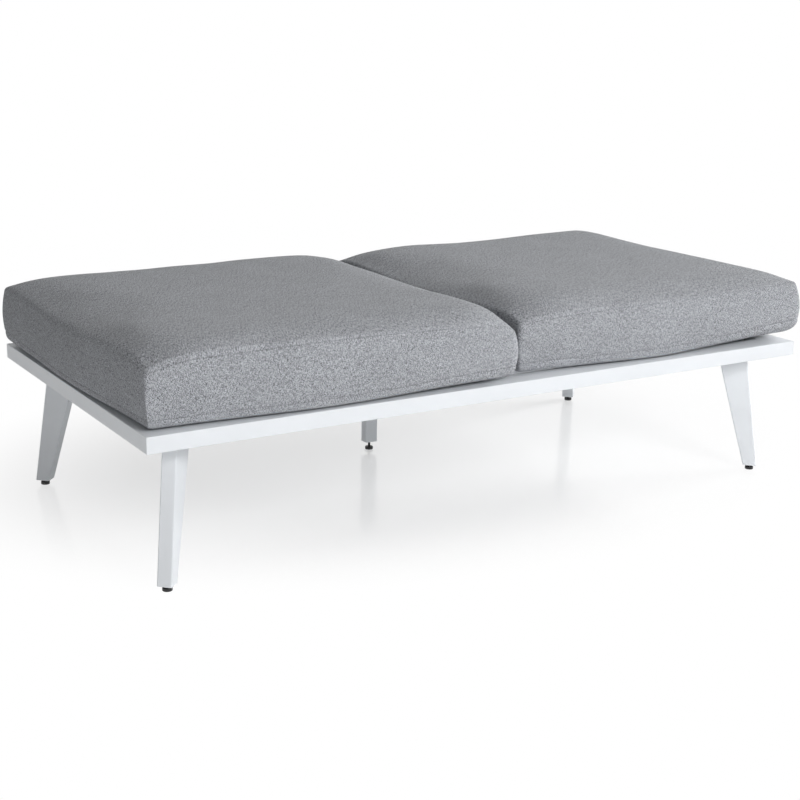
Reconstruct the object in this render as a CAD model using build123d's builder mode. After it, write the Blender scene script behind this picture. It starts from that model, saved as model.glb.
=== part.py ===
"""Two-seat garden sofa module: a white metal frame on splayed legs, with two box cushions.

Millimetres, +Z up, +X along the length, -Y the front. The origin is on the floor, under the
middle of the frame.
"""
import math
import os

from build123d import *

os.makedirs("parts", exist_ok=True)

# Frame
frame_length = 1600
frame_depth = 800
frame_height = 318
rail_width = 60
rail_height = 32
rail_wall = 2
rail_edge_radius = 1.5

# Deck
slat_count = 8
slat_width = 40
slat_thickness = 14
slat_wall = 1.5
slat_edge_radius = 2
beam_width = 25
beam_wall = 2

# Corner legs, with their width measured along the frame's diagonal
foot_inset = 54
leg_bottom = 12
leg_bottom_width = 31
leg_top_width = 68
leg_thickness = 30
leg_rake = 44.5
leg_wall = 2.5
leg_edge_radius = 3
plate_thickness = 4
plate_half_width = 45
plate_nose_half_width = 12
plate_margin = 4
bracket_thickness = 4
bracket_reach = 130

# Support leg behind the middle
support_x = 27
support_setback = 177.5
support_bottom = 20.5
support_width = 32
support_depth = 25
support_wall = 2
support_plate_length = 90
support_plate_rim = 3
support_bolt_pitch = 60

# Fasteners
bolt_radius = 3
bolt_hole_radius = 3.3
bolt_head_radius = 5.25
bolt_head_height = 3.3
bolt_socket_radius = 2.3
bolt_socket_depth = 2
bolt_head_recess = 0.2
bolt_pitch_along = 55
bolt_pitch_across = 66
bolt_row_setback = 47
nut_radius = 5.7
nut_height = 5

# Levelling feet
pad_radius = 9.75
pad_height = 7
pad_bottom_radius = 1
pad_top_radius = 2
stud_radius = 3
stud_seat = 2
stud_length = 35
plug_height = 18

# Cushions
cushion_gap = 12
cushion_plumpness = 15
cushion_shift_x = 8
left_cushion_shift_y = -3
right_cushion_shift_y = 12
cushion_setback = 5
cushion_height = 152
lower_seam_height = 24
upper_seam_height = 128
cushion_corner_radius = 13
cushion_bow = 7
seam_draw = 5
bottom_inset = 14
crown_inset = 130
corner_growth_share = 0.45
corner_limit_share = 0.85
panel_levels = 6
lower_panel_levels = 4
crown_sharpness_share = 1.4
cover_thickness = 1.5
foam_inset = 24
foam_margin = 13
foam_corner_radius = 30
foam_edge_radius = 16

# Zips in the back of the cushion covers
zip_length = 620
zip_width = 6
zip_thickness = 2
slider_length = 12
slider_width = 11
slider_cheek = 2
tab_length = 22
tab_width = 6
tab_thickness = 1.5
slider_end_gap = 4

# Clearances
fit_clearance = 0.05
soft_clearance = 0.3
overrun = 1

# Heights worked out from the sizes above
frame_underside = frame_height - rail_height
leg_top = frame_underside + bolt_head_height + bolt_head_recess
bracket_underside = leg_top + plate_thickness
nut_underside = bracket_underside + bracket_thickness
slat_underside = frame_height - slat_thickness
support_top = frame_underside - plate_thickness

# Plan sizes worked out from the sizes above
inner_length = frame_length - 2 * rail_width
inner_depth = frame_depth - 2 * rail_width
diagonal = math.sqrt(2)
inner_corner = rail_width * diagonal
support_y = frame_depth / 2 - support_setback
bolt_row_centre = inner_corner + bolt_row_setback + bolt_pitch_along / 2

corners = {
    "front_left": (-1, -1),
    "front_right": (1, -1),
    "rear_left": (-1, 1),
    "rear_right": (1, 1),
}


def save(piece, name):
    """Label a finished piece and write its file."""
    piece.part.label = name
    export_step(piece.part, f"parts/{name}.step")


# Rails: hollow tubes lying flat, mitred and welded at the corners
def mitred_points(length, inset, reach):
    """A bar in plan with its outer side on the local X axis, from inset to reach across it."""
    half = length / 2
    return [
        (-half + inset, inset),
        (half - inset, inset),
        (half - reach, reach),
        (-half + reach, reach),
    ]


def make_rail(name, length, plane, run):
    with BuildPart() as rail:
        with BuildSketch(plane):
            Polygon(*mitred_points(length, 0, rail_width), align=None)
        extrude(amount=rail_height)
        fillet(rail.edges().filter_by(run), radius=rail_edge_radius)
        with BuildSketch(plane.offset(rail_wall)):
            Polygon(*mitred_points(length, rail_wall, rail_width - rail_wall), align=None)
        extrude(amount=rail_height - 2 * rail_wall, mode=Mode.SUBTRACT)
    save(rail, name)


def side_plane(x, y, along):
    """The rail's underside, with local X along the outer face and local Y into the frame."""
    return Plane(origin=(x, y, frame_underside), x_dir=along, z_dir=(0, 0, 1))


make_rail("front_rail", frame_length, side_plane(0, -frame_depth / 2, (1, 0, 0)), Axis.X)
make_rail("rear_rail", frame_length, side_plane(0, frame_depth / 2, (-1, 0, 0)), Axis.X)
make_rail("left_rail", frame_depth, side_plane(-frame_length / 2, 0, (0, -1, 0)), Axis.Y)
make_rail("right_rail", frame_depth, side_plane(frame_length / 2, 0, (0, 1, 0)), Axis.Y)


# Slats: flat tubes along the whole length, flush with the rails and welded to the side rails
slat_pitch = (inner_depth + slat_width) / (slat_count + 1)
slat_middle = slat_underside + slat_thickness / 2


def make_slat(number):
    y = -(slat_count + 1) * slat_pitch / 2 + number * slat_pitch
    end = Plane(origin=(-inner_length / 2, y, slat_middle), x_dir=(0, 1, 0), z_dir=(1, 0, 0))
    with BuildPart() as slat:
        with BuildSketch(end):
            RectangleRounded(slat_width, slat_thickness, slat_edge_radius)
            Rectangle(
                slat_width - 2 * slat_wall,
                slat_thickness - 2 * slat_wall,
                mode=Mode.SUBTRACT,
            )
        extrude(amount=inner_length)
    save(slat, f"slat_{number}")


for slat_number in range(1, slat_count + 1):
    make_slat(slat_number)


# Centre beam: a tube from the front rail to the rear rail, under the slats
beam_height = slat_underside - frame_underside
support_bolt_spots = [(0, support_y + side * support_bolt_pitch / 2) for side in (-1, 1)]
beam_end = Plane(
    origin=(0, -inner_depth / 2, frame_underside + beam_height / 2),
    x_dir=(1, 0, 0),
    z_dir=(0, 1, 0),
)
with BuildPart() as centre_beam:
    with BuildSketch(beam_end):
        Rectangle(beam_width, beam_height)
        Rectangle(beam_width - 2 * beam_wall, beam_height - 2 * beam_wall, mode=Mode.SUBTRACT)
    extrude(amount=inner_depth)
    with BuildSketch(Plane.XY.offset(frame_underside - overrun)):
        with Locations(*support_bolt_spots):
            Circle(bolt_hole_radius)
    extrude(amount=beam_wall + 2 * overrun, mode=Mode.SUBTRACT)
save(centre_beam, "centre_beam")


# Corner brackets and leg plates, drawn along the diagonal from the frame's outer corner
bolt_spots = [
    (bolt_row_centre + along * bolt_pitch_along / 2, across * bolt_pitch_across / 2)
    for along in (-1, 1)
    for across in (-1, 1)
]


def corner_plane(side_x, side_y, height):
    """Local X runs from the frame's outer corner inwards along the diagonal."""
    return Plane(
        origin=(side_x * frame_length / 2, side_y * frame_depth / 2, height),
        x_dir=(-side_x, -side_y, 0),
        z_dir=(0, 0, 1),
    )


def make_bracket(corner):
    reach = inner_corner + bracket_reach
    with BuildPart() as bracket:
        with BuildSketch(corner_plane(*corners[corner], bracket_underside)):
            Polygon(
                (inner_corner, 0),
                (reach, bracket_reach),
                (reach, -bracket_reach),
                align=None,
            )
            with Locations(*bolt_spots):
                Circle(bolt_hole_radius, mode=Mode.SUBTRACT)
        extrude(amount=bracket_thickness)
    save(bracket, f"corner_bracket_{corner}")


def make_leg_plate(corner):
    nose = inner_corner + plate_margin * diagonal + plate_nose_half_width
    shoulder = inner_corner + plate_margin * diagonal + plate_half_width
    reach = inner_corner + bracket_reach - plate_margin
    with BuildPart() as plate:
        with BuildSketch(corner_plane(*corners[corner], leg_top)):
            Polygon(
                (nose, plate_nose_half_width),
                (shoulder, plate_half_width),
                (reach, plate_half_width),
                (reach, -plate_half_width),
                (shoulder, -plate_half_width),
                (nose, -plate_nose_half_width),
                align=None,
            )
            with Locations(*bolt_spots):
                Circle(bolt_hole_radius, mode=Mode.SUBTRACT)
        extrude(amount=plate_thickness)
    save(plate, f"leg_plate_{corner}")


# Legs: tapered tubes set at 45 degrees, whose outer face leans in towards the frame
def foot_spot(side_x, side_y):
    return side_x * (frame_length / 2 - foot_inset), side_y * (frame_depth / 2 - foot_inset)


def leg_side_plane(side_x, side_y):
    """Local X points outwards along the diagonal from the foot's axis, and local Y up."""
    x, y = foot_spot(side_x, side_y)
    return Plane(origin=(x, y, 0), x_dir=(side_x, side_y, 0), z_dir=(side_y, -side_x, 0))


def leg_profile(bottom, top, inset):
    """The leg's side view between two heights, with both edges drawn in by an inset."""
    outer_slope = leg_rake / (leg_top - leg_bottom)
    inner_slope = (leg_rake + leg_top_width - leg_bottom_width) / (leg_top - leg_bottom)
    reach = leg_bottom_width / 2 - inset
    return [
        (reach - outer_slope * (bottom - leg_bottom), bottom),
        (reach - outer_slope * (top - leg_bottom), top),
        (-reach - inner_slope * (top - leg_bottom), top),
        (-reach - inner_slope * (bottom - leg_bottom), bottom),
    ]


def is_long(edge):
    return edge.bounding_box().size.Z > (leg_top - leg_bottom) / 2


def make_leg(corner):
    plane = leg_side_plane(*corners[corner])
    with BuildPart() as leg:
        with BuildSketch(plane):
            Polygon(*leg_profile(leg_bottom, leg_top, 0), align=None)
        extrude(amount=leg_thickness / 2, both=True)
        fillet(leg.edges().filter_by(is_long), radius=leg_edge_radius)
        with BuildSketch(plane):
            Polygon(*leg_profile(leg_bottom - overrun, leg_top + overrun, leg_wall), align=None)
        extrude(amount=leg_thickness / 2 - leg_wall, both=True, mode=Mode.SUBTRACT)
    save(leg, f"leg_{corner}")


def make_leg_plug(corner):
    inset = leg_wall + fit_clearance
    with BuildPart() as plug:
        with BuildSketch(leg_side_plane(*corners[corner])):
            Polygon(*leg_profile(leg_bottom, leg_bottom + plug_height, inset), align=None)
        extrude(amount=leg_thickness / 2 - inset, both=True)
        with BuildSketch(Plane.XY.offset(leg_bottom - overrun)):
            with Locations(foot_spot(*corners[corner])):
                Circle(stud_radius + fit_clearance)
        extrude(amount=plug_height + 2 * overrun, mode=Mode.SUBTRACT)
    save(plug, f"leg_plug_{corner}")


for corner_name in corners:
    make_bracket(corner_name)
    make_leg_plate(corner_name)
    make_leg(corner_name)
    make_leg_plug(corner_name)


# Bolts and nuts: button heads below the plates, nuts above the brackets
def make_bolts(name, planes, spots, grip):
    """Bolts that stand up from planes at the underside of their plates."""
    with BuildPart() as bolts:
        for plane in planes:
            with BuildSketch(plane.offset(-bolt_head_height)):
                with Locations(*spots):
                    Circle(bolt_head_radius)
            extrude(amount=bolt_head_height)
            with BuildSketch(plane):
                with Locations(*spots):
                    Circle(bolt_radius)
            extrude(amount=grip)
            with BuildSketch(plane.offset(-bolt_head_height)):
                with Locations(*spots):
                    RegularPolygon(bolt_socket_radius, side_count=6)
            extrude(amount=bolt_socket_depth, mode=Mode.SUBTRACT)
    save(bolts, name)


def make_nuts(name, planes, spots):
    """Nuts that stand on planes at the top of their plates."""
    with BuildPart() as nuts:
        for plane in planes:
            with BuildSketch(plane):
                with Locations(*spots):
                    RegularPolygon(nut_radius, side_count=6)
                    Circle(bolt_radius + fit_clearance, mode=Mode.SUBTRACT)
            extrude(amount=nut_height)
    save(nuts, name)


leg_grip = plate_thickness + bracket_thickness + nut_height
leg_bolt_planes = [corner_plane(*sides, leg_top) for sides in corners.values()]
leg_nut_planes = [corner_plane(*sides, nut_underside) for sides in corners.values()]
make_bolts("leg_bolts", leg_bolt_planes, bolt_spots, leg_grip)
make_nuts("leg_nuts", leg_nut_planes, bolt_spots)

support_grip = plate_thickness + beam_wall + nut_height
make_bolts("support_bolts", [Plane.XY.offset(support_top)], support_bolt_spots, support_grip)
make_nuts("support_nuts", [Plane.XY.offset(frame_underside + beam_wall)], support_bolt_spots)


# Support leg: a straight tube on a plate that is screwed under the centre beam
support_plate_left = -beam_width / 2
support_plate_right = support_x + support_width / 2 + support_plate_rim
with BuildPart() as support_plate:
    with BuildSketch(Plane.XY.offset(support_top)):
        with Locations(((support_plate_left + support_plate_right) / 2, support_y)):
            Rectangle(support_plate_right - support_plate_left, support_plate_length)
        with Locations(*support_bolt_spots):
            Circle(bolt_hole_radius, mode=Mode.SUBTRACT)
    extrude(amount=plate_thickness)
save(support_plate, "support_plate")

support_plane = Plane(origin=(support_x, support_y, support_bottom))
with BuildPart() as support_leg:
    with BuildSketch(support_plane):
        RectangleRounded(support_width, support_depth, leg_edge_radius)
        Rectangle(
            support_width - 2 * support_wall,
            support_depth - 2 * support_wall,
            mode=Mode.SUBTRACT,
        )
    extrude(amount=support_top - support_bottom)
save(support_leg, "support_leg")

support_bore_inset = support_wall + fit_clearance
with BuildPart() as support_plug:
    with BuildSketch(support_plane):
        Rectangle(support_width - 2 * support_bore_inset, support_depth - 2 * support_bore_inset)
        Circle(stud_radius + fit_clearance, mode=Mode.SUBTRACT)
    extrude(amount=plug_height)
save(support_plug, "support_plug")


# Levelling feet: a round pad on a threaded stud
def make_foot(name, x, y):
    seat = Plane(origin=(x, y, stud_seat))
    with BuildPart() as pad:
        with BuildSketch(Plane(origin=(x, y, 0))):
            Circle(pad_radius)
        extrude(amount=pad_height)
        fillet(pad.edges().group_by(Axis.Z)[0], radius=pad_bottom_radius)
        fillet(pad.edges().group_by(Axis.Z)[-1], radius=pad_top_radius)
        with BuildSketch(seat):
            Circle(stud_radius + fit_clearance)
        extrude(amount=pad_height, mode=Mode.SUBTRACT)
    save(pad, f"foot_pad_{name}")

    with BuildPart() as stud:
        with BuildSketch(seat):
            Circle(stud_radius)
        extrude(amount=stud_length)
    save(stud, f"foot_stud_{name}")


for corner_name, sides in corners.items():
    make_foot(corner_name, *foot_spot(*sides))
make_foot("middle", support_x, support_y)


# Cushions: a box cushion with crowned panels, sides that bow out, and two seams round it
cushion_width = (frame_length - cushion_gap) / 2 + cushion_plumpness
cushion_depth = frame_depth - 2 * cushion_setback
cushion_underside = frame_height + soft_clearance
cushion_x = (cushion_gap + cushion_width) / 2


def cushion_outline(plane, inset):
    """Bowed front and ends, rounded corners, and a straight back that holds the zip."""
    x_end = cushion_width / 2 - inset
    y_end = cushion_depth / 2 - inset
    x_corner = x_end - cushion_bow
    y_corner = y_end - cushion_bow
    with BuildSketch(plane) as outline:
        with BuildLine():
            ThreePointArc((-x_corner, -y_corner), (0, -y_end), (x_corner, -y_corner))
            ThreePointArc((x_corner, -y_corner), (x_end, 0), (x_corner, y_end))
            Line((x_corner, y_end), (-x_corner, y_end))
            ThreePointArc((-x_corner, y_end), (-x_end, 0), (-x_corner, -y_corner))
        make_face()
        grown_radius = cushion_corner_radius + corner_growth_share * inset
        radius_limit = corner_limit_share * min(x_end, y_end)
        fillet(outline.vertices(), radius=min(grown_radius, radius_limit))
    return outline.sketch


def panel(seam, middle, reach, levels):
    """Heights and insets of a panel that rounds over from its seam to its flat middle."""
    turns = [math.pi / 2 * level / (levels - 1) for level in range(levels)]
    return [
        (
            seam + (middle - seam) * math.sin(turn),
            seam_draw + reach * (1 - math.cos(turn)) ** crown_sharpness_share,
        )
        for turn in turns
    ]


def cushion_form(x, y, margin):
    """The whole crowned form, drawn in by a margin on every side."""
    underside = cushion_underside + margin
    lower_seam = cushion_underside + lower_seam_height
    upper_seam = cushion_underside + upper_seam_height
    top = cushion_underside + cushion_height - margin
    bulge = (lower_seam + upper_seam) / 2
    lower_panel = panel(lower_seam, underside, bottom_inset, lower_panel_levels)
    border = [(lower_seam, seam_draw), (bulge, 0), (upper_seam, seam_draw)]
    crown = panel(upper_seam, top, crown_inset, panel_levels)
    with BuildPart() as form:
        for levels, flat_sided in ((lower_panel, True), (border, False), (crown, True)):
            outlines = [
                cushion_outline(Plane(origin=(x, y, height)), inset + margin)
                for height, inset in levels
            ]
            loft(outlines, ruled=flat_sided)
    return form.part


def foam_slab(x, y, margin):
    """The foam inside the cushion: a slab with rounded edges, grown by a margin."""
    bottom = cushion_underside + foam_margin - margin
    with BuildPart() as slab:
        with BuildSketch(Plane(origin=(x, y, bottom))):
            RectangleRounded(
                cushion_width - 2 * (foam_inset - margin),
                cushion_depth - 2 * (foam_inset - margin),
                foam_corner_radius,
            )
        extrude(amount=cushion_height - 2 * (foam_margin - margin))
        fillet(slab.faces().sort_by(Axis.Z)[-1].edges(), radius=foam_edge_radius)
        fillet(slab.faces().sort_by(Axis.Z)[0].edges(), radius=foam_edge_radius)
    return slab.part


def make_cushion(side, x, y):
    outer = cushion_form(x, y, 0)
    lining = cushion_form(x, y, cover_thickness)
    filling = cushion_form(x, y, cover_thickness + soft_clearance)
    pocket = foam_slab(x, y, soft_clearance)
    slab = foam_slab(x, y, 0)

    with BuildPart() as cover:
        add(outer)
        add(lining, mode=Mode.SUBTRACT)
    save(cover, f"cushion_cover_{side}")

    with BuildPart() as wadding:
        add(filling)
        add(pocket, mode=Mode.SUBTRACT)
    save(wadding, f"cushion_wadding_{side}")

    with BuildPart() as foam:
        add(slab)
    save(foam, f"cushion_foam_{side}")


def make_zip(side, x, y):
    """A chain along the middle of the back, and its slider at the left end."""
    height = cushion_underside + (lower_seam_height + upper_seam_height) / 2
    back = y + cushion_depth / 2 + soft_clearance
    seat = Plane(origin=(x, back, height), x_dir=(-1, 0, 0), z_dir=(0, 1, 0))
    with BuildPart() as chain:
        with BuildSketch(seat):
            Rectangle(zip_length, zip_width)
        extrude(amount=zip_thickness)
    save(chain, f"zip_{side}")

    slider_x = zip_length / 2 - slider_end_gap - slider_length / 2
    slot_width = zip_width + 2 * soft_clearance
    slot_depth = zip_thickness + soft_clearance
    with BuildPart() as slider:
        with BuildSketch(seat.offset(soft_clearance)):
            with Locations((slider_x, 0)):
                RectangleRounded(slider_length, slider_width, slider_cheek)
        extrude(amount=slot_depth + slider_cheek - soft_clearance)
        with BuildSketch(seat):
            with Locations((slider_x, 0)):
                Rectangle(slider_length + 2 * overrun, slot_width)
        extrude(amount=slot_depth, mode=Mode.SUBTRACT)
        with BuildSketch(seat.offset(slot_depth + slider_cheek)):
            with Locations((slider_x, 0)):
                RectangleRounded(tab_width, tab_width, tab_thickness)
            with Locations((slider_x, -(tab_length - tab_width) / 2)):
                RectangleRounded(tab_width, tab_length, tab_thickness)
        extrude(amount=tab_thickness)
    save(slider, f"zip_slider_{side}")


for side, direction, shift_y in (
    ("left", -1, left_cushion_shift_y),
    ("right", 1, right_cushion_shift_y),
):
    centre_x = cushion_shift_x + direction * cushion_x
    make_cushion(side, centre_x, shift_y)
    make_zip(side, centre_x, shift_y)
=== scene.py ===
"""Looks of a two-seat garden sofa module: powder-coated metal, woven covers and a plain studio.

Metres, in the frame's own axes: +Z up, +X along the length, -Y the front.
"""

import math

import bpy
import numpy as np
from mathutils import Matrix, Vector


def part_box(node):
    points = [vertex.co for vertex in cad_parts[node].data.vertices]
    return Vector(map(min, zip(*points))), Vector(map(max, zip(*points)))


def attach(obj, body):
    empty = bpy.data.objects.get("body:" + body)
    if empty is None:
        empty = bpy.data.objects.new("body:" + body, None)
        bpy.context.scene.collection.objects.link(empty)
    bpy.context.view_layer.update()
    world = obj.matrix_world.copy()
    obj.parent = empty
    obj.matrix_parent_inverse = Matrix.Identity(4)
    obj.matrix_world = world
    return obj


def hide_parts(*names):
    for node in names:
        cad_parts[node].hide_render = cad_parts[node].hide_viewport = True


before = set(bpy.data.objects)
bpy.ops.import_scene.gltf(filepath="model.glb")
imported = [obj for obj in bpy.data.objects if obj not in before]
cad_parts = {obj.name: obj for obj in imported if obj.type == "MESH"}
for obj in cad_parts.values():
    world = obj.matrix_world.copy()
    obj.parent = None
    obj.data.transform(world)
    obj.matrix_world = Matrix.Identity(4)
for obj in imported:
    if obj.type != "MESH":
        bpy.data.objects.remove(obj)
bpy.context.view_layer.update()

mm = 0.001

# Camera
camera_place = (-1.691894, -2.637281, 1.056197)
camera_yaw = 0.563331813
camera_pitch = 0.272075952
camera_roll = 0.0200234457
camera_lens = 64.02
camera_sensor = 36

# Colours, as linear light
white = (1.0, 1.0, 1.0)
paint_colour = (0.787, 0.813, 0.842)
dark_yarn = (0.085, 0.088, 0.094)
light_yarn = (0.61, 0.63, 0.67)
# Colour of the seam thread, also used for the painted shade along the seams
thread_and_seam_shade_colour = (0.075, 0.078, 0.084)
floor_colour = (0.90, 0.90, 0.90)
floor_shade = (0.42, 0.42, 0.42)

# Colour and roughness of the metals and plastics
bolt_finish = ((0.60, 0.60, 0.61), 0.32)
slider_finish = ((0.12, 0.12, 0.125), 0.42)
foot_finish = ((0.010, 0.010, 0.011), 0.42)
plug_finish = ((0.05, 0.051, 0.053), 0.55)
tape_finish = ((0.14, 0.142, 0.148), 0.7)
tooth_finish = ((0.14, 0.142, 0.148), 0.35)

# Surfaces. A scale counts the noise's features to a metre. A range gives the factor on the
# colour, or the roughness, at either end of the noise, and a spread is added to the roughness.
noise_range = (0.3, 0.7)
relief_strength = 0.5
paint_drift_scale = 6
paint_drift_range = (0.97, 1.0)
peel_scale = 900
peel_roughness = 0.55
peel_depth = 0.06 * mm
peel_strength = 0.6
paint_grain_scale = 3200
paint_grain_share = 0.35
paint_sheen_scale = 40
paint_roughness = (0.36, 0.46)
scratch_scale = 2600
scratch_depth = 0.03 * mm
stain_scale = 220
stain_range = (0.82, 1.0)
metal_spread = (-0.06, 0.08)
plastic_grain_scale = 1800
plastic_grain_depth = 0.04 * mm
plastic_spread = (-0.05, 0.1)
scuff_scale = 160
scuff_noise = (0.55, 0.75)
scuff_range = (1.0, 1.9)
fine_roughness = 0.6

# Weave, with its noise in steps to a thread: how fast a yarn's tone changes along it, how far
# its neighbour's lies from it, and the same for the slubs, which run up and down the cloth.
# The starts keep the three noises apart. The slub shares say how much the slubs count beside
# the yarns, on the border and on the crown.
thread_pitch = 0.9 * mm
yarn_change = 0.45
yarn_apart = 7.31
weft_start = 40.0
slub_start = 80.0
slub_across = 0.9
slub_along = 0.12
slub_map = "slub_share"
border_slub = 0.28
crown_slub = 0.42
yarn_noise = (0.425, 0.575)
# Painted shade and highlight of the weave: how fast the colour darkens into each yarn's edges, and
# its factor on the colour from a yarn's edge to its top
hollow_shade_power = 0.5
hollow_shade_range = (0.62, 1.06)
mottle_scale = 14
mottle_range = (0.95, 1.05)
fuzz_scale = 2.5
fuzz_share = 0.5
weave_depth = 0.25 * mm
weave_map = "Weave"

# Stitches and the painted shade along each seam: how near a seam they show, where each stitch dips
# in, and how dark that is
stitch_pitch = 4 * mm
seam_shade_and_stitch_edge = (0.3 * mm, 1.2 * mm)
stitch_dip = (0.2, 0.4)
seam_shade_and_stitch_darkness = (0.2, 0.5)
stitch_map = "Stitches"
gap_map = "seam_gap"

# Studio: the room's own light beside the horizon and overhead
horizon_light = 0.34
zenith_light = 0.08

# Studio: the patch of floor that shows the object's shade, and how it fades and glows
shade_middle = (0.10, 0.25)
shade_reach = (1.10, 0.80)
shade_fade = (0.5, 1.1)
shade_roughness = 0.16
shade_glow = 0.46
floor_roughness = 0.6
floor_radius = 8
floor_corners = 96

# Studio: each lamp's place, the point that it faces, its width and height, and its watts
lamps = {
    "key": ((0.4, -4.0, 2.4), (0, 0, 0.3), (1.8, 1.2), 111),
    "side": ((6.5, -0.5, 2.9), (0, 0, 0.3), (3.0, 2.0), 350),
    "low": ((-3.2, -1.5, 0.5), (0, 0, 0.25), (1.6, 0.6), 8),
}

# Cushion mesh: cells along its length, its depth and all round it, and the points inside a grid
cells_x = 100
cells_y = 98
cells_around = 2 * (cells_x + cells_y)
grid_inside = (cells_x - 1) * (cells_y - 1)

# Cushion form
side_bow = 7 * mm
corner_radius = 13 * mm
corner_growth = 0.45
lip_height = 4.5 * mm
lip_reach = 32 * mm
held_height = 1.45 * lip_height
border_bulge = 4 * mm
crown_height = 149 * mm
roll_power = 1.4
corner_dip_reach = 55 * mm
far_from_seam = 50 * mm
half_corner = math.pi / 4

# Swelling of the covers, and what is done to them afterwards. The fade makes the upper seam
# fainter, as if it lay so many millimetres away, at the eight places that the forms use.
pressure = 4
cloth_quality = 5
last_step = 20
crown_cap = 8 * mm
border_cap = 3.5 * mm
spare_cloth = 0.006
easing_steps = 40
seam_depth = 0.9 * mm
seam_width = 1.3 * mm
seam_fade = (0.3, 0, 0, 0, 0.3, 0.4, 0.8, 1.1)
pucker_depth = 0.6 * mm
pucker_reach = 11 * mm
pucker_size = 26 * mm
lump_depth = 0.8 * mm
lump_size = 190 * mm
lump_start = 25 * mm
wave_count = 16
tiny = 1e-9

# Zips, threads and welds
tape_height = 30 * mm
tape_thickness = 1.2 * mm
zip_seat = 0.6 * mm
zip_margin = 6 * mm
tooth_pitch = 2 * mm
tooth_length = 1.2 * mm
tooth_edge = tooth_length / 6
thread_rise = 1 * mm
thread_depth = 0.55 * mm
thread_sides = 24
thread_steps = 6
weld_radius = 2.5 * mm
weld_ripple = 3 * mm
weld_sides = 8
weld_steps = 4
weld_margin = 4 * weld_radius
ripple_height = 0.12
ripple_drift = 0.08
weld_end = 0.35
slat_count = 8

# Each cushion as it lies, in millimetres. Eight values run counter-clockwise from the front left
# corner, at the corners and the middles of the sides. Four values give the corners. The crown's
# reach is how far it takes to level out from the front, the right, the back and the left side,
# and its power says how gently it starts to rise there.
cushion_forms = {
    "left": {
        "contact": (20, 6, 46, 16, 14, 14, 26, 14),
        "lower_seam": (12, 2, -13, -9, -2, 4, -8, 1),
        "upper_seam": (8, 5, -9, 0, 4, 5, -4, 4),
        "lower_height": (20, 20, 35, 28, 24, 24, 32, 21),
        "upper_height": (123, 131, 126, 127, 128, 129, 129, 114),
        "corner_dip": (15, 20, 17, 3),
        "crown_reach": (75, 110, 50, 200),
        "crown_power": (0.55, 0.5, 0.5, 0.5),
    },
    "right": {
        "contact": (26, 5, 100, 28, 18, 14, 17, 17),
        "lower_seam": (11, 3, -19, -4, 2, 4, 7, 9),
        "upper_seam": (9, 5, -6, 3, 6, 5, 5, 7),
        "lower_height": (26, 22, 49, 29, 24, 24, 24, 24),
        "upper_height": (114, 124, 135, 132, 134, 126, 124, 112),
        "corner_dip": (6, 2, 0, 13),
        "crown_reach": (90, 70, 45, 215),
        "crown_power": (0.8, 0.6, 0.5, 0.5),
    },
}


class Shader:
    """A procedural material or world, built up node by node.

    Sockets that share a name go by number. Those of Mix are 0 for its factor, 2 and 3 for
    numbers, and 6 and 7 for colours.
    """

    def __init__(self, owner):
        self.owner = owner
        owner.use_nodes = True
        self.tree = owner.node_tree
        self.tree.nodes.clear()

    def add(self, kind, inputs=None, **settings):
        node = self.tree.nodes.new("ShaderNode" + kind)
        for key, value in settings.items():
            setattr(node, key, value)
        for key, value in (inputs or {}).items():
            self.feed(node.inputs[key], value)
        return node

    def feed(self, socket, value):
        if isinstance(value, bpy.types.NodeSocket):
            self.tree.links.new(value, socket)
        elif isinstance(value, tuple) and len(value) == 3 and socket.type == "RGBA":
            socket.default_value = (*value, 1)
        else:
            socket.default_value = value

    def math(self, operation, *values):
        node = self.add("Math", operation=operation)
        for socket, value in zip(node.inputs, values):
            self.feed(socket, value)
        return node.outputs[0]

    def scaled(self, vector, factor):
        return self.add("VectorMath", {0: vector, 3: factor}, operation="SCALE").outputs[0]

    def split(self, vector):
        return self.add("SeparateXYZ", {0: vector}).outputs

    def joined(self, x, y, z):
        return self.add("CombineXYZ", {0: x, 1: y, 2: z}).outputs[0]

    def noise(self, vector, scale, detail=2.0, roughness=0.5):
        inputs = {"Vector": vector, "Scale": scale, "Detail": detail, "Roughness": roughness}
        return self.add("TexNoise", inputs).outputs[0]

    def span(self, value, low, high, to_low=0.0, to_high=1.0, smooth=False):
        kind = "SMOOTHSTEP" if smooth else "LINEAR"
        node = self.add("MapRange", interpolation_type=kind)
        for socket, number in zip(node.inputs, (value, low, high, to_low, to_high)):
            self.feed(socket, number)
        return node.outputs[0]

    def varied(self, vector, scale, low, high, detail=3.0, roughness=0.5):
        """Noise that spreads from one value to another."""
        noise = self.noise(vector, scale, detail, roughness)
        return self.span(noise, *noise_range, low, high)

    def mix(self, factor, a, b, blend="MIX"):
        inputs = {0: factor, 6: a, 7: b}
        return self.add("Mix", inputs, data_type="RGBA", blend_type=blend).outputs[2]

    def mix_number(self, factor, a, b):
        return self.add("Mix", {0: factor, 2: a, 3: b}, data_type="FLOAT").outputs[0]

    def tinted(self, colour, amount):
        """A colour made lighter or darker by a factor that varies over the surface."""
        return self.mix(1.0, colour, self.joined(amount, amount, amount), "MULTIPLY")

    def bump(self, height, distance, strength=relief_strength):
        inputs = {"Height": height, "Distance": distance, "Strength": strength}
        return self.add("Bump", inputs).outputs[0]

    def here(self):
        return self.add("TexCoord").outputs["Object"]

    def principled(self, inputs):
        return self.add("BsdfPrincipled", inputs).outputs[0]

    def seen(self):
        """1 for rays that come from the camera, a reflection or through glass."""
        rays = self.add("LightPath").outputs
        direct = self.math("MAXIMUM", rays["Is Camera Ray"], rays["Is Glossy Ray"])
        return self.math("MAXIMUM", direct, rays["Is Transmission Ray"])

    def end(self, shader, kind="OutputMaterial"):
        self.add(kind, {"Surface": shader})
        return self.owner


def new_material(name):
    return Shader(bpy.data.materials.new(name))


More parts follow.
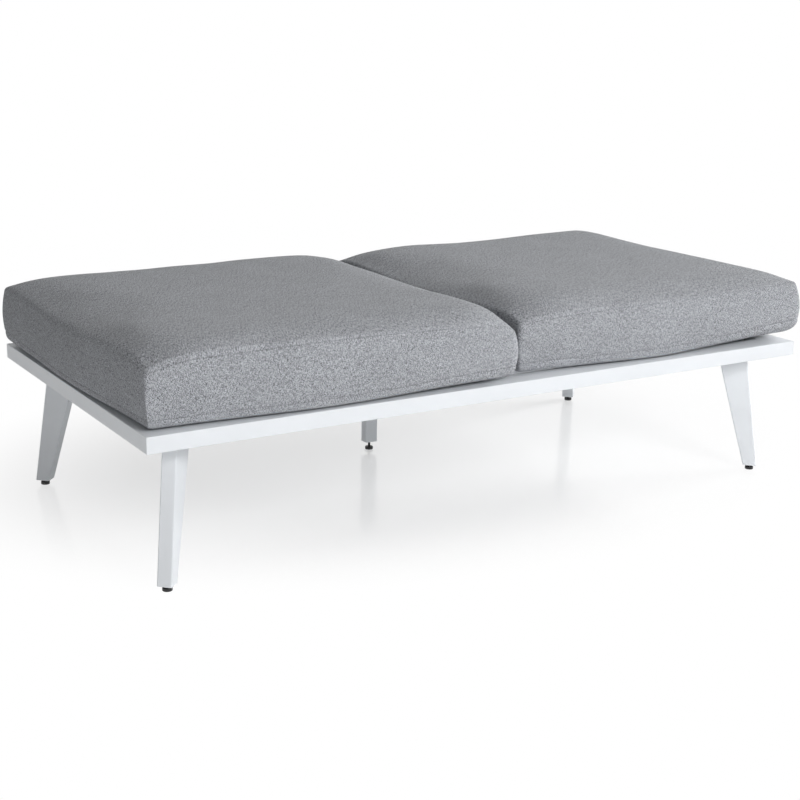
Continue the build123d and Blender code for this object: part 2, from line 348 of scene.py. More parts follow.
# Painted and bare metal, and plastics
def paint_material():
    """Powder coat: a fine orange peel, an uneven sheen and a faint drift in tone."""
    paint = new_material("powder_coat")
    here = paint.here()
    drift = paint.varied(here, paint_drift_scale, *paint_drift_range)
    peel = paint.noise(here, peel_scale, detail=3, roughness=peel_roughness)
    grain = paint.noise(here, paint_grain_scale)
    height = paint.math("ADD", peel, paint.math("MULTIPLY", grain, paint_grain_share))
    inputs = {
        "Base Color": paint.tinted(paint_colour, drift),
        "Roughness": paint.varied(here, paint_sheen_scale, *paint_roughness, detail=4),
        "Normal": paint.bump(height, peel_depth, peel_strength),
    }
    return paint.end(paint.principled(inputs))


def steel_material(name, colour, roughness):
    """Bare metal: fine scratches and a faint stain."""
    steel = new_material(name)
    here = steel.here()
    scratches = steel.noise(here, scratch_scale, detail=3, roughness=fine_roughness)
    stain = steel.varied(here, stain_scale, *stain_range)
    smooth, rough = (roughness + spread for spread in metal_spread)
    inputs = {
        "Base Color": steel.tinted(colour, stain),
        "Metallic": 1.0,
        "Roughness": steel.span(scratches, *noise_range, smooth, rough),
        "Normal": steel.bump(scratches, scratch_depth),
    }
    return steel.end(steel.principled(inputs))


def plastic_material(name, colour, roughness):
    """Moulded plastic: a fine grain, and pale scuffs here and there."""
    plastic = new_material(name)
    here = plastic.here()
    grain = plastic.noise(here, plastic_grain_scale, roughness=fine_roughness)
    scuffs = plastic.noise(here, scuff_scale, detail=4, roughness=fine_roughness)
    smooth, rough = (roughness + spread for spread in plastic_spread)
    inputs = {
        "Base Color": plastic.tinted(colour, plastic.span(scuffs, *scuff_noise, *scuff_range)),
        "Roughness": plastic.span(grain, *noise_range, smooth, rough),
        "Normal": plastic.bump(grain, plastic_grain_depth),
    }
    return plastic.end(plastic.principled(inputs))


# Woven cover: a plain weave of mixed yarns, drawn in metres along the cloth
def weave(cloth, u, v):
    """The yarns' tone and the height of the weave, where u and v count threads."""
    column = cloth.math("FLOOR", u)
    row = cloth.math("FLOOR", v)
    warp_up = cloth.math("ABSOLUTE", cloth.math("MODULO", cloth.math("ADD", column, row), 2.0))
    warp_x = cloth.math("MULTIPLY", column, yarn_apart)
    weft_y = cloth.math("MULTIPLY", row, yarn_apart)
    warp_place = cloth.joined(warp_x, cloth.math("MULTIPLY", v, yarn_change), 0.0)
    weft_place = cloth.joined(cloth.math("MULTIPLY", u, yarn_change), weft_y, weft_start)
    warp_tone = cloth.noise(warp_place, 1.0)
    weft_tone = cloth.noise(weft_place, 1.0)
    slub_place = cloth.joined(
        cloth.math("MULTIPLY", u, slub_across), cloth.math("MULTIPLY", v, slub_along), slub_start
    )
    slub = cloth.noise(slub_place, 1.0)
    slub_share = cloth.add("Attribute", attribute_name=slub_map).outputs["Fac"]
    yarn_tone = cloth.mix_number(warp_up, weft_tone, warp_tone)
    tone = cloth.span(cloth.mix_number(slub_share, yarn_tone, slub), *yarn_noise)
    ridges = [
        cloth.math("SINE", cloth.math("MULTIPLY", cloth.math("FRACT", place), math.pi))
        for place in (u, v)
    ]
    return tone, cloth.mix_number(warp_up, ridges[1], ridges[0])


def stitches_and_seam_shade(cloth):
    """A thin line of painted shade along each seam, with the thread's stitches as short darker
    dashes on it.
    """
    gap = cloth.add("Attribute", attribute_name=gap_map).outputs["Fac"]
    near = cloth.span(gap, *seam_shade_and_stitch_edge, 1.0, 0.0, smooth=True)
    run = cloth.split(cloth.add("UVMap", uv_map=stitch_map).outputs[0])[0]
    turn = cloth.math("FRACT", cloth.math("DIVIDE", run, stitch_pitch))
    dash = cloth.span(cloth.math("ABSOLUTE", cloth.math("SUBTRACT", turn, 0.5)), *stitch_dip)
    return cloth.math("MULTIPLY", near, cloth.span(dash, 0.0, 1.0, *seam_shade_and_stitch_darkness))


def cover_material():
    cloth = new_material("woven_cover")
    place = cloth.add("UVMap", uv_map=weave_map).outputs[0]
    threads = cloth.scaled(place, 1 / thread_pitch)
    u, v, _ = cloth.split(threads)
    tone, height = weave(cloth, u, v)
    yarn = cloth.mix(tone, dark_yarn, light_yarn)
    # Painted shade: each yarn is darkened where it dips between its neighbours, and lightened a
    # little on its top, as light falls on the weave
    hollow_shade = cloth.math("POWER", cloth.math("MAXIMUM", height, 0.0), hollow_shade_power)
    yarn = cloth.tinted(yarn, cloth.span(hollow_shade, 0.0, 1.0, *hollow_shade_range))
    mottle = cloth.varied(place, mottle_scale, *mottle_range, detail=4, roughness=fine_roughness)
    yarn = cloth.tinted(yarn, mottle)
    # Painted shade along the seams, darkest at the stitches
    yarn = cloth.mix(stitches_and_seam_shade(cloth), yarn, thread_and_seam_shade_colour)
    fuzz = cloth.noise(threads, fuzz_scale)
    relief = cloth.math("ADD", height, cloth.math("MULTIPLY", fuzz, fuzz_share))
    inputs = {
        "Base Color": yarn,
        "Roughness": 0.92,
        "Specular IOR Level": 0.2,
        "Sheen Weight": 0.12,
        "Sheen Roughness": 0.5,
        "Normal": cloth.bump(relief, weave_depth),
    }
    return cloth.end(cloth.principled(inputs))


def paint_frame_nodes(paint, pad, slider_metal):
    """Gives every CAD node that stays in view the material of what it is made of."""
    bolt_steel = steel_material("bolt_steel", *bolt_finish)
    plug = plastic_material("plug_plastic", *plug_finish)
    kinds = (
        ("foot_pad", pad),
        ("foot_stud", pad),
        ("leg_plug", plug),
        ("support_plug", plug),
        ("leg_bolts", bolt_steel),
        ("leg_nuts", bolt_steel),
        ("support_bolts", bolt_steel),
        ("support_nuts", bolt_steel),
        ("zip_slider", slider_metal),
        ("", paint),
    )
    for name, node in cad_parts.items():
        if name.startswith("cushion_"):
            continue
        material = next(material for start, material in kinds if name.startswith(start))
        for slot in node.material_slots:
            slot.link = "OBJECT"
            slot.material = material


# Cushions: rings round a box form from the underside to the crown, closed by two grids
def side_run(cells, half, radius):
    """One side of a rounded rectangle, between the middles of its two corners.

    Gives the places along the side and how far the outline drops in from the side's line.
    """
    arc = radius * half_corner
    straight = 2 * (half - radius)
    run = np.linspace(0, straight + 2 * arc, cells, endpoint=False)
    place = run - arc - straight / 2
    drop = np.zeros(cells)
    start = run < arc
    angle = half_corner - run[start] / radius
    place[start] = -half + radius - radius * np.sin(angle)
    drop[start] = radius * (1 - np.cos(angle))
    end = run > arc + straight
    angle = (run[end] - arc - straight) / radius
    place[end] = half - radius + radius * np.sin(angle)
    drop[end] = radius * (1 - np.cos(angle))
    return place, drop


def outline(half_x, half_y, inset):
    """Points round a cushion in plan, counter-clockwise from its front left corner.

    The front and the two ends bow out, and the back stays straight. The inset is one value
    for each point.
    """
    level = float(np.mean(inset))
    box_x = half_x - side_bow - level
    box_y = half_y - side_bow / 2 - level
    radius = corner_radius + corner_growth * level
    sides = (
        (cells_x, box_x, box_y, (1, 0), (0, -1), side_bow),
        (cells_y, box_y, box_x, (0, 1), (1, 0), side_bow),
        (cells_x, box_x, box_y, (-1, 0), (0, 1), 0),
        (cells_y, box_y, box_x, (0, -1), (-1, 0), side_bow),
    )
    runs = []
    for cells, half, reach, along, out, swell in sides:
        place, drop = side_run(cells, half, radius)
        swelling = swell * np.sin(math.pi * np.arange(cells) / cells) ** 2
        runs.append(np.outer(place, along) + np.outer(reach - drop + swelling, out))
    points = np.concatenate(runs) + (0, side_bow / 2)
    return points - ring_normals(points) * (inset - level)[:, None]


def ring_normals(points):
    """Outward normals in plan of a closed counter-clockwise ring."""
    tangent = np.roll(points, -1, 0) - np.roll(points, 1, 0)
    normal = np.column_stack([tangent[:, 1], -tangent[:, 0]])
    return normal / np.linalg.norm(normal, axis=1)[:, None]


def round_values(values):
    """Eight values, at the corners and the middles of the sides, eased round the outline."""
    runs = []
    for side, cells in enumerate((cells_x, cells_y) * 2):
        share = 2 * np.arange(cells) / cells
        start, middle, end = (values[(2 * side + step) % 8] for step in range(3))
        rise = np.sin(np.minimum(share, 1) * math.pi / 2) ** 2
        fall = np.sin(np.maximum(share - 1, 0) * math.pi / 2) ** 2
        runs.append(start + (middle - start) * rise + (end - middle) * fall)
    return np.concatenate(runs) * mm


def corner_values(values, half_x, half_y):
    """Four values at the corners that fade out along the sides."""
    runs = []
    lengths = (2 * half_x, 2 * half_y) * 2
    for side, (cells, length) in enumerate(zip((cells_x, cells_y) * 2, lengths)):
        away = np.arange(cells) / cells * length
        first = np.exp(-((away / corner_dip_reach) ** 2))
        second = np.exp(-(((length - away) / corner_dip_reach) ** 2))
        runs.append(values[side] * first + values[(side + 1) % 4] * second)
    return np.concatenate(runs) * mm


def fill_grid(ring):
    """A grid that fills a closed ring of points, with its rows from front to back."""
    front = ring[: cells_x + 1]
    right = ring[cells_x : cells_x + cells_y + 1]
    back = ring[cells_x + cells_y : 2 * cells_x + cells_y + 1][::-1]
    left = np.concatenate([ring[2 * cells_x + cells_y :], ring[:1]])[::-1]
    s = np.linspace(0, 1, cells_x + 1)[None, :, None]
    t = np.linspace(0, 1, cells_y + 1)[:, None, None]
    across = (1 - t) * front[None] + t * back[None]
    along = (1 - s) * left[:, None] + s * right[:, None]
    near = (1 - t) * ((1 - s) * front[0] + s * front[-1])
    far = t * ((1 - s) * back[0] + s * back[-1])
    return across + along - near - far


class CushionMesh:
    """A cushion's rings, its two grids, and where its cloth and its seams lie."""

    # Where the rings lie: how far in under the cushion, how many degrees round its lower edge,
    # what share of the way up its border, how far in on its crown, and how near either seam
    underside_steps = (lip_reach, 20 * mm, 8 * mm)
    roll_turns = (90, 78, 66, 54, 41, 27, 13)
    border_shares = (0.1, 0.2, 0.3, 0.4, 0.5, 0.6, 0.7, 0.8, 0.9)
    crown_insets = (2.5 * mm, 7 * mm, 13 * mm)
    near_seam = 2.5 * mm
    zip_band_depth = 12 * mm

    def __init__(self, half_x, half_y, zip_reach, zip_height, form):
        self.half_x = half_x
        self.half_y = half_y
        self.zip_reach = zip_reach
        self.zip_height = zip_height
        self.reaches = [reach * mm for reach in form["crown_reach"]]
        self.powers = form["crown_power"]
        self.contact = round_values(form["contact"])
        self.lower = round_values(form["lower_seam"])
        self.upper = round_values(form["upper_seam"])
        dips = corner_values(form["corner_dip"], half_x, half_y)
        self.lower_height = round_values(form["lower_height"])
        self.upper_height = round_values(form["upper_height"]) - dips
        self.rings = []
        self.add_underside()
        self.lower_seam_ring = len(self.rings)
        self.add_border()
        self.upper_seam_ring = len(self.rings) - 1
        self.add_crown()
        self.assemble()
        self.held = self.held_points()

    def add_ring(self, inset, z):
        points = outline(self.half_x, self.half_y, inset)
        self.rings.append(np.column_stack([points, np.broadcast_to(z, len(points))]))

    def add_underside(self):
        for step in self.underside_steps:
            self.add_ring(self.contact + step, lip_height * (1 - step / lip_reach) ** 2)
        slope = self.turn_near_seam(self.lower_height - lip_height)
        for turn in (*self.roll_turns, slope):
            angle = math.radians(turn)
            roll = (1 - math.cos(angle)) ** roll_power
            inset = self.lower + (self.contact - self.lower) * roll
            height = lip_height + (self.lower_height - lip_height) * (1 - math.sin(angle))
            self.add_ring(inset, height)

    def turn_near_seam(self, rise):
        """The turn, in degrees, of a ring that lies just below the lower seam."""
        return math.degrees(math.asin(self.near_seam / float(np.mean(rise))))

    def add_border(self):
        rise = self.upper_height - self.lower_height
        edge = self.near_seam / float(np.mean(rise))
        for share in (0, edge, *self.border_shares, 1 - edge, 1):
            bulge = border_bulge * 4 * share * (1 - share)
            inset = self.lower * (1 - share) + self.upper * share - bulge
            self.add_ring(inset, self.lower_height + rise * share)

    def add_crown(self):
        for step in self.crown_insets:
            inset = self.upper + step
            points = outline(self.half_x, self.half_y, inset)
            rise = self.crown_share(points[:, 0], points[:, 1])
            self.rings.append(np.column_stack([points, self.crowned(self.upper_height, rise)]))

    def crowned(self, seam_height, rise):
        return seam_height + (crown_height - seam_height) * rise

    def crown_share(self, x, y):
        """How far the crown has risen from its seam, from 0 at the seam to 1 on the level."""
        seam = float(np.mean(self.upper))
        half_x, half_y = self.half_x - seam, self.half_y - seam
        away = (y + half_y, half_x - x, half_y - y, x + half_x)
        share = 1
        for distance, reach, power in zip(away, self.reaches, self.powers):
            level = np.clip(distance / reach, 0, 1)
            share = share * (1 - (1 - level) ** 2) ** power
        return share

    def crown_grid(self):
        """The middle of the crown, which meets the last ring."""
        grid = fill_grid(np.column_stack([self.rings[-1], self.upper_height]))
        x, y, rim, seam_height = np.moveaxis(grid, -1, 0)
        height = self.crowned(seam_height, self.crown_share(x, y))
        height[0], height[-1] = rim[0], rim[-1]
        height[:, 0], height[:, -1] = rim[:, 0], rim[:, -1]
        return np.dstack([x, y, height])

    def assemble(self):
        """Vertices and quads, which quads make up the border, and where the cloth lies."""
        stack = np.concatenate(self.rings)
        bottom = fill_grid(self.rings[0])
        top = self.crown_grid()
        inner = (slice(1, -1), slice(1, -1))
        self.points = np.concatenate(
            [stack, bottom[inner].reshape(-1, 3), top[inner].reshape(-1, 3)]
        )
        first = np.arange(cells_around)
        after = np.roll(first, -1)
        quads = []
        for level in range(len(self.rings) - 1):
            low, high = level * cells_around, (level + 1) * cells_around
            quads.append(np.column_stack([first + low, after + low, after + high, first + high]))
        bottom_numbers = self.grid_numbers(0, len(stack))
        top_numbers = self.grid_numbers(len(stack) - cells_around, len(stack) + grid_inside)
        for grid, turn in ((bottom_numbers, -1), (top_numbers, 1)):
            cells = [grid[:-1, :-1], grid[:-1, 1:], grid[1:, 1:], grid[1:, :-1]]
            quads.append(np.stack(cells[::turn], -1).reshape(-1, 4))
        self.quads = np.concatenate(quads)
        border = slice(self.lower_seam_ring * cells_around, self.upper_seam_ring * cells_around)
        self.border = np.zeros(len(self.quads), bool)
        self.border[border] = True
        self.measure_cloth(len(stack))

    def grid_numbers(self, ring_start, inner_start):
        """The vertex numbers of a grid whose rim is a ring."""
        nx, ny = cells_x, cells_y
        rim = ring_start + np.arange(cells_around)
        grid = np.zeros((ny + 1, nx + 1), int)
        grid[0, :nx] = rim[:nx]
        grid[:ny, nx] = rim[nx : nx + ny]
        grid[ny, :0:-1] = rim[nx + ny : 2 * nx + ny]
        grid[:0:-1, 0] = rim[2 * nx + ny :]
        grid[1:-1, 1:-1] = inner_start + np.arange((nx - 1) * (ny - 1)).reshape(ny - 1, nx - 1)
        return grid

    def measure_cloth(self, in_rings):
        """Cloth coordinates for each panel, and the distance of each vertex from a seam."""
        stack = np.stack(self.rings)
        steps = np.linalg.norm(np.diff(stack, axis=0), axis=2).mean(1)
        run = np.concatenate([[0], np.cumsum(steps)])
        seams = run[[self.lower_seam_ring, self.upper_seam_ring]]
        to_lower, to_upper = np.abs(run - seams[:, None])
        fade = np.outer(to_upper < to_lower, round_values(seam_fade))
        self.seam_gap = np.full(len(self.points), far_from_seam)
        self.seam_gap[:in_rings] = (np.minimum(to_lower, to_upper)[:, None] + fade).ravel()
        self.flat = self.points[:, :2].copy()
        top_rim = len(self.rings) - 1
        underside = [(level, 0) for level in range(self.lower_seam_ring + 1)]
        crown = [(level, top_rim) for level in range(self.upper_seam_ring, top_rim + 1)]
        for level, rim in underside + crown:
            start = stack[rim][:, :2]
            reach = abs(run[level] - run[rim])
            ring = slice(level * cells_around, (level + 1) * cells_around)
            self.flat[ring] = start + ring_normals(start) * reach
        middle = stack[(self.lower_seam_ring + self.upper_seam_ring) // 2]
        sides = np.linalg.norm(np.roll(middle, -1, 0) - middle, axis=1)
        self.round_run = np.concatenate([[0], np.cumsum(sides)])
        self.run = run

    def cloth_places(self):
        """For each corner of each quad, its place on the cloth and its run along the seams."""
        places = self.flat[self.quads]
        level, turn = np.divmod(self.quads, cells_around)
        turn[:, 1:3][turn[:, 1:3] == 0] = cells_around
        run = self.round_run[turn]
        on_border = run[self.border], self.run[level[self.border]]
        places[self.border] = np.stack(on_border, -1)
        seams = np.stack([run, np.zeros(run.shape)], -1)
        return places.reshape(-1, 2), seams.reshape(-1, 2)

    def held_points(self):
        """The seams, the underside and the band under the zip, which stay as they are sewn."""
        level = np.arange(len(self.points)) // cells_around
        on_seam = (level == self.lower_seam_ring) | (level == self.upper_seam_ring)
        x, y, z = self.points.T
        underneath = z < held_height
        at_back = y > self.half_y - self.zip_band_depth
        level_with_zip = np.abs(z - self.zip_height) < tape_height
        at_zip = at_back & (np.abs(x) < self.zip_reach) & level_with_zip
        return on_seam | underneath | at_zip

    def on_crown(self):
        """The points above the upper seam."""
        number = np.arange(len(self.points))
        rings_end = cells_around * len(self.rings)
        in_rings = number < rings_end
        above_seam = number // cells_around > self.upper_seam_ring
        in_top_grid = number >= rings_end + grid_inside
        return (in_rings & above_seam) | in_top_grid

    def caps(self):
        """How far the filling may push each point out."""
        return np.where(self.on_crown(), crown_cap, border_cap)


def get_points(mesh):
    points = np.empty(3 * len(mesh.vertices))
    mesh.vertices.foreach_get("co", points)
    return points.reshape(-1, 3)


def waves(points, size, seed):
    """Smooth waves over space, of about a given size, the same on every run."""
    random = np.random.default_rng(seed)
    directions = random.normal(size=(wave_count, 3))
    phases = random.uniform(0, 2 * math.pi, wave_count)
    heights = [
        np.sin(points @ direction * math.pi / size + phase)
        for direction, phase in zip(directions, phases)
    ]
    return np.sum(heights, 0) / math.sqrt(wave_count)


def cushion_object(name, form, place):
    mesh = bpy.data.meshes.new(name)
    mesh.from_pydata(form.points.tolist(), [], form.quads.tolist())
    for map_name, places in zip((weave_map, stitch_map), form.cloth_places()):
        mesh.uv_layers.new(name=map_name)
        mesh.uv_layers[map_name].data.foreach_set("uv", places.ravel())
    gap = mesh.attributes.new(gap_map, "FLOAT", "POINT")
    gap.data.foreach_set("value", form.seam_gap)
    slub = mesh.attributes.new(slub_map, "FLOAT", "POINT")
    slub.data.foreach_set("value", np.where(form.on_crown(), crown_slub, border_slub))
    mesh.shade_smooth()
    cushion = bpy.data.objects.new(name, mesh)
    cushion.location = place
    bpy.context.scene.collection.objects.link(cushion)
    return cushion


def eased(move, form):
    """The cloth's movement with its small folds smoothed out."""
    start = form.quads.ravel()
    end = np.roll(form.quads, -1, 1).ravel()
    near, far = np.concatenate([start, end]), np.concatenate([end, start])
    count = np.bincount(near)[:, None]
    for _ in range(easing_steps):
        around = [np.bincount(near, move[far, axis]) for axis in range(3)]
        move = (move + np.column_stack(around) / count) / 2
        move[form.held] = 0
    return move


def swell(cushion, form):
    """Lets the filling push the cover out between its seams, and keeps the result."""
    held = cushion.vertex_groups.new(name="held")
    held.add(np.flatnonzero(form.held).tolist(), 1, "REPLACE")
    modifier = cushion.modifiers.new("swelling", "CLOTH")
    cloth = modifier.settings
    cloth.quality = cloth_quality
    cloth.use_pressure = True
    cloth.uniform_pressure_force = pressure
    cloth.effector_weights.gravity = 0
    cloth.vertex_group_mass = held.name
    cloth.shrink_min = -spare_cloth
    modifier.collision_settings.use_collision = False
    modifier.point_cache.frame_end = last_step
    for step in range(1, last_step + 1):
        bpy.context.scene.frame_set(step)
    swollen = cushion.evaluated_get(bpy.context.evaluated_depsgraph_get())
    move = get_points(swollen.data) - form.points
    distance = np.linalg.norm(move, axis=1)
    caps = form.caps()
    share = caps * np.tanh(distance / caps) / np.maximum(distance, tiny)
    cushion.modifiers.remove(modifier)
    cushion.vertex_groups.remove(held)
    points = form.points + eased(move * share[:, None], form)
    cushion.data.vertices.foreach_set("co", points.ravel())
    bpy.context.scene.frame_set(1)


def subdivide(cushion):
    cushion.modifiers.new("fine", "SUBSURF").levels = 1
    smooth = cushion.evaluated_get(bpy.context.evaluated_depsgraph_get())
    mesh = bpy.data.meshes.new_from_object(smooth)
    cushion.modifiers.clear()
    cushion.data = mesh


def seat_zip(points, form):
    """Presses the back flat where the zip lies."""
    x, y, z = points.T
    beside = np.clip((np.abs(x) - form.zip_reach) / zip_margin, 0, 1)
    above = np.clip((np.abs(z - form.zip_height) - tape_height / 2) / zip_margin, 0, 1)
    limit = form.half_y - zip_seat + np.maximum(beside, above) * form.zip_band_depth
    points[:, 1] = np.minimum(y, limit)


def sew(cushion, form, seed):
    """Draws the seams in, puckers the cloth beside them and leaves soft lumps in the filling."""
    mesh = cushion.data
    points = get_points(mesh)
    normals = np.empty(points.size)
    mesh.vertex_normals.foreach_get("vector", normals)
    gap = np.empty(len(points))
    mesh.attributes[gap_map].data.foreach_get("value", gap)
    groove = seam_depth * np.exp(-((gap / seam_width) ** 2))
    pucker = pucker_depth * np.exp(-gap / pucker_reach) * waves(points, pucker_size, seed)
    lump = lump_depth * waves(points, lump_size, seed + 1)
    above = np.clip(points[:, 2] / lump_start, 0, 1)
    rise = (pucker + lump) * above - groove
    points += normals.reshape(-1, 3) * rise[:, None]
    points[:, 2] = np.maximum(points[:, 2], 0)
    seat_zip(points, form)
    mesh.vertices.foreach_set("co", points.ravel())
    mesh.update()


def make_cushion(side, seed, cover):
    low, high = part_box(f"cushion_cover_{side}")
    half = (high - low) / 2
    middle = (high + low) / 2
    zip_low, zip_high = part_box(f"zip_{side}")
    zip_height = (zip_low.z + zip_high.z) / 2 - low.z
    zip_reach = (zip_high.x - zip_low.x) / 2
    form = CushionMesh(half.x, half.y, zip_reach, zip_height, cushion_forms[side])
    cushion = cushion_object(f"seat_cushion_{side}", form, (middle.x, middle.y, low.z))
    cushion.data.materials.append(cover)
    swell(cushion, form)
    subdivide(cushion)
    sew(cushion, form, seed)
    inner = [f"cushion_{part}_{side}" for part in ("cover", "wadding", "foam")]
    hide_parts(*inner)
    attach(cushion, f"cushion_{side}")


# Small pieces
def mesh_object(name, points, faces, material, smooth=False):
    mesh = bpy.data.meshes.new(name)
    mesh.from_pydata([tuple(point) for point in points], [], faces)
    mesh.materials.append(material)
    if smooth:
        mesh.shade_smooth()
    piece = bpy.data.objects.new(name, mesh)
    bpy.context.scene.collection.objects.link(piece)
    return piece


def tube_faces(rings, sides):
    """Quads between rings of points, and a cap at either end."""
    faces = []
    for ring in range(rings - 1):
        for side in range(sides):
            start, after = ring * sides, (side + 1) % sides
            faces.append((start + side, start + after, start + sides + after, start + sides + side))
    faces.append(tuple(reversed(range(sides))))
    faces.append(tuple(range((rings - 1) * sides, rings * sides)))
    return faces


def make_threaded_stud(name, material):
    """A stud with a real helical thread, in place of the plain rod."""
    low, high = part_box(f"foot_stud_{name}")
    middle = (low + high) / 2
    radius = (high.x - low.x) / 2
    rings = int((high.z - low.z) / thread_rise * thread_steps)
    points = []
    for ring in range(rings + 1):
        z = low.z + (high.z - low.z) * ring / rings
        for side in range(thread_sides):
            turn = side / thread_sides
            phase = (z / thread_rise - turn) % 1
            reach = radius - thread_depth * abs(2 * phase - 1)
            angle = 2 * math.pi * turn
            x = middle.x + reach * math.cos(angle)
            y = middle.y + reach * math.sin(angle)
            points.append((x, y, z))
    faces = tube_faces(rings + 1, thread_sides)
    stud = mesh_object(f"threaded_stud_{name}", points, faces, material)
    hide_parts(f"foot_stud_{name}")
    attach(stud, f"foot_{name}")


def box_points(low, high):
    return [
        (x, y, z)
        for z in (low[2], high[2])
        for x, y in ((low[0], low[1]), (high[0], low[1]), (high[0], high[1]), (low[0], high[1]))
    ]


def make_zip(side, tape_material, tooth_material):
    """A zip's two tapes with their interlocked teeth, on the back of a cover.

    A tooth passes the middle by a sixth of the chain's height, and a tape stops a twelfth short.
    """
    low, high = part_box(f"zip_{side}")
    middle = (low.z + high.z) / 2
    meet = (high.z - low.z) / 6
    count = int((high.x - low.x) / tooth_pitch)
    boxes = []
    for tooth in range(count):
        x = low.x + (tooth + 0.5) * tooth_pitch
        bottom, top = (low.z, middle + meet) if tooth % 2 else (middle - meet, high.z)
        boxes.append(((x - tooth_length / 2, low.y, bottom), (x + tooth_length / 2, high.y, top)))
    tape_back = low.y - tape_thickness
    tape_gap = (high.z - low.z) / 12
    for bottom, top in (
        (middle - tape_height / 2, middle - tape_gap),
        (middle + tape_gap, middle + tape_height / 2),
    ):
        boxes.append(((low.x, tape_back, bottom), (high.x, low.y, top)))
    corners = [box_points(*box) for box in boxes]
    points = [point for box in corners for point in box]
    sides = tube_faces(2, 4)
    faces = [
        tuple(len(box) * number + corner for corner in face)
        for number, box in enumerate(corners)
        for face in sides
    ]
    chain = mesh_object(f"zip_chain_{side}", points, faces, tape_material)
    chain.data.materials.append(tooth_material)
    for face in chain.data.polygons[: len(sides) * count]:
        face.material_index = 1
    edge = chain.modifiers.new("edge", "BEVEL")
    edge.width = tooth_edge
    edge.segments = 1
    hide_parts(f"zip_{side}")
    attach(chain, f"cushion_{side}")


def weld_bead(start, end, out):
    """A rippled bead in the corner between two faces, from start to end."""
    start, end, out = Vector(start), Vector(end), Vector(out).normalized()
    along = (end - start).normalized()
    across = along.cross(out)
    length = (end - start).length
    steps = max(weld_steps, int(length / weld_ripple * weld_steps))
    points = []
    for step in range(steps + 1):
        share = step / steps
        run = share * length
        wave = ripple_height * math.cos(2 * math.pi * run / weld_ripple)
        ripple = 1 + wave + ripple_drift * math.sin(run / weld_ripple)
        taper = min(1, weld_end + min(run, length - run) / weld_radius)
        radius = weld_radius * ripple * taper
        for side in range(weld_sides):
            turn = 2 * math.pi * side / weld_sides
            spot = start + along * run + radius * (math.cos(turn) * out + math.sin(turn) * across)
            points.append(tuple(spot))
    return points, tube_faces(steps + 1, weld_sides)


def weld_lines():
    """Start, end and direction out of each weld under the frame."""
    lines = []
    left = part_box("left_rail")[1].x
    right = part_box("right_rail")[0].x
    for number in range(1, slat_count + 1):
        low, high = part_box(f"slat_{number}")
        for x, inward in ((left, 1), (right, -1)):
            lines.append(((x, low.y, low.z), (x, high.y, low.z), (inward, 0, -1)))
    beam_low, beam_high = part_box("centre_beam")
    for y, inward in ((beam_low.y, 1), (beam_high.y, -1)):
        for x, outward in ((beam_low.x, -1), (beam_high.x, 1)):
            lines.append(((x, y, beam_low.z), (x, y, beam_high.z), (outward, inward, 0)))
    for corner_x, side_x in (("left", 1), ("right", -1)):
        for corner_y, side_y in (("front", 1), ("rear", -1)):
            low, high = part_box(f"corner_bracket_{corner_y}_{corner_x}")
            x = low.x if side_x > 0 else high.x
            y = low.y if side_y > 0 else high.y
            margin = weld_margin * side_x
            far_x = high.x if side_x > 0 else low.x
            lines.append(((x + margin, y, low.z), (far_x - margin, y, low.z), (0, side_y, -1)))
            margin = weld_margin * side_y
            far_y = high.y if side_y > 0 else low.y
            lines.append(((x, y + margin, low.z), (x, far_y - margin, low.z), (side_x, 0, -1)))
    return lines


def make_welds(material):
    points = []
    faces = []
    for line in weld_lines():
        bead_points, bead_faces = weld_bead(*line)
        first = len(points)
        points += bead_points
        faces += [tuple(first + corner for corner in face) for face in bead_faces]
    welds = mesh_object("weld_beads", points, faces, material, smooth=True)
    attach(welds, "frame")


# Studio
def floor_material():
    """A pale floor that lights the object softly, and shows white but for its shadow."""
    pale = new_material("studio_floor")
    parts = [
        pale.math("POWER", pale.math("DIVIDE", pale.math("SUBTRACT", place, middle), reach), 2.0)
        for place, middle, reach in zip(pale.split(pale.here()), shade_middle, shade_reach)
    ]
    far = pale.math("SQRT", pale.math("ADD", *parts))
    near = pale.span(far, *shade_fade, 1.0, 0.0, smooth=True)
    bounce = pale.principled({"Base Color": floor_colour, "Roughness": floor_roughness})
    shaded = pale.principled(
        {
            "Base Color": floor_shade,
            "Roughness": shade_roughness,
            "Emission Color": white,
            "Emission Strength": shade_glow,
        }
    )
    blank = pale.add("Emission", {"Strength": 1.0}).outputs[0]
    shown = pale.add("MixShader", {0: near, 1: blank, 2: shaded}).outputs[0]
    return pale.end(pale.add("MixShader", {0: pale.seen(), 1: bounce, 2: shown}).outputs[0])


def make_floor():
    turns = [2 * math.pi * step / floor_corners for step in range(floor_corners)]
    rim = [(floor_radius * math.cos(turn), floor_radius * math.sin(turn), 0) for turn in turns]
    mesh = bpy.data.meshes.new("studio_floor")
    mesh.from_pydata(rim, [], [list(range(floor_corners))])
    mesh.materials.append(floor_material())
    floor = bpy.data.objects.new("studio_floor", mesh)
    bpy.context.scene.collection.objects.link(floor)


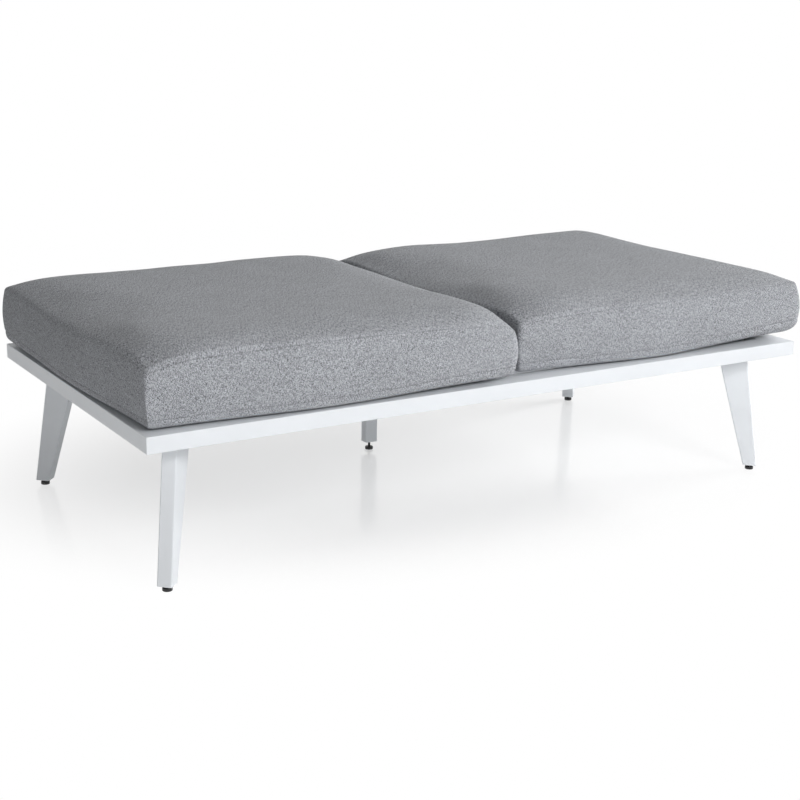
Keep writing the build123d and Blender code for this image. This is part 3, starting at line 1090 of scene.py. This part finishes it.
def make_world():
    """Soft light that weakens from the horizon up, and a white background."""
    sky = Shader(bpy.data.worlds.new("studio"))
    height = sky.split(sky.add("TexCoord").outputs["Generated"])["Z"]
    light = sky.span(height, 0.0, 1.0, horizon_light, zenith_light)
    strength = sky.span(sky.seen(), 0.0, 1.0, light, 1.0)
    background = sky.add("Background", {"Color": white, "Strength": strength})
    bpy.context.scene.world = sky.end(background.outputs[0], "OutputWorld")


def make_lamp(name, place, aim, size, power):
    data = bpy.data.lights.new(name, "AREA")
    data.shape = "RECTANGLE"
    data.size, data.size_y = size
    data.energy = power
    lamp = bpy.data.objects.new(name, data)
    bpy.context.scene.collection.objects.link(lamp)
    lamp.location = place
    lamp.rotation_euler = (Vector(aim) - Vector(place)).to_track_quat("-Z", "Y").to_euler()


def make_camera():
    yaw, pitch, roll = camera_yaw, camera_pitch, camera_roll
    level_ahead = Vector((math.sin(yaw), math.cos(yaw), 0))
    ahead = math.cos(pitch) * level_ahead - math.sin(pitch) * Vector((0, 0, 1))
    level = Vector((math.cos(yaw), -math.sin(yaw), 0))
    upright = level.cross(ahead)
    right = math.cos(roll) * level + math.sin(roll) * upright
    up = math.cos(roll) * upright - math.sin(roll) * level
    data = bpy.data.cameras.new("camera")
    data.lens = camera_lens
    data.sensor_width = camera_sensor
    camera = bpy.data.objects.new("camera", data)
    bpy.context.scene.collection.objects.link(camera)
    turn = Matrix((right, up, -ahead)).transposed()
    camera.matrix_world = Matrix.Translation(camera_place) @ turn.to_4x4()
    bpy.context.scene.camera = camera


paint = paint_material()
black_plastic = plastic_material("foot_plastic", *foot_finish)
slider_metal = steel_material("slider_metal", *slider_finish)
tape = plastic_material("zip_tape", *tape_finish)
teeth = plastic_material("zip_teeth", *tooth_finish)
cover = cover_material()
paint_frame_nodes(paint, black_plastic, slider_metal)
for side, seed in (("left", 0), ("right", 10)):
    make_cushion(side, seed, cover)
    make_zip(side, tape, teeth)
for corner in ("front_left", "front_right", "rear_left", "rear_right", "middle"):
    make_threaded_stud(corner, black_plastic)
make_welds(paint)
make_floor()
make_world()
for name, settings in lamps.items():
    make_lamp(name, *settings)
make_camera()
bpy.context.scene.view_settings.view_transform = "Standard"
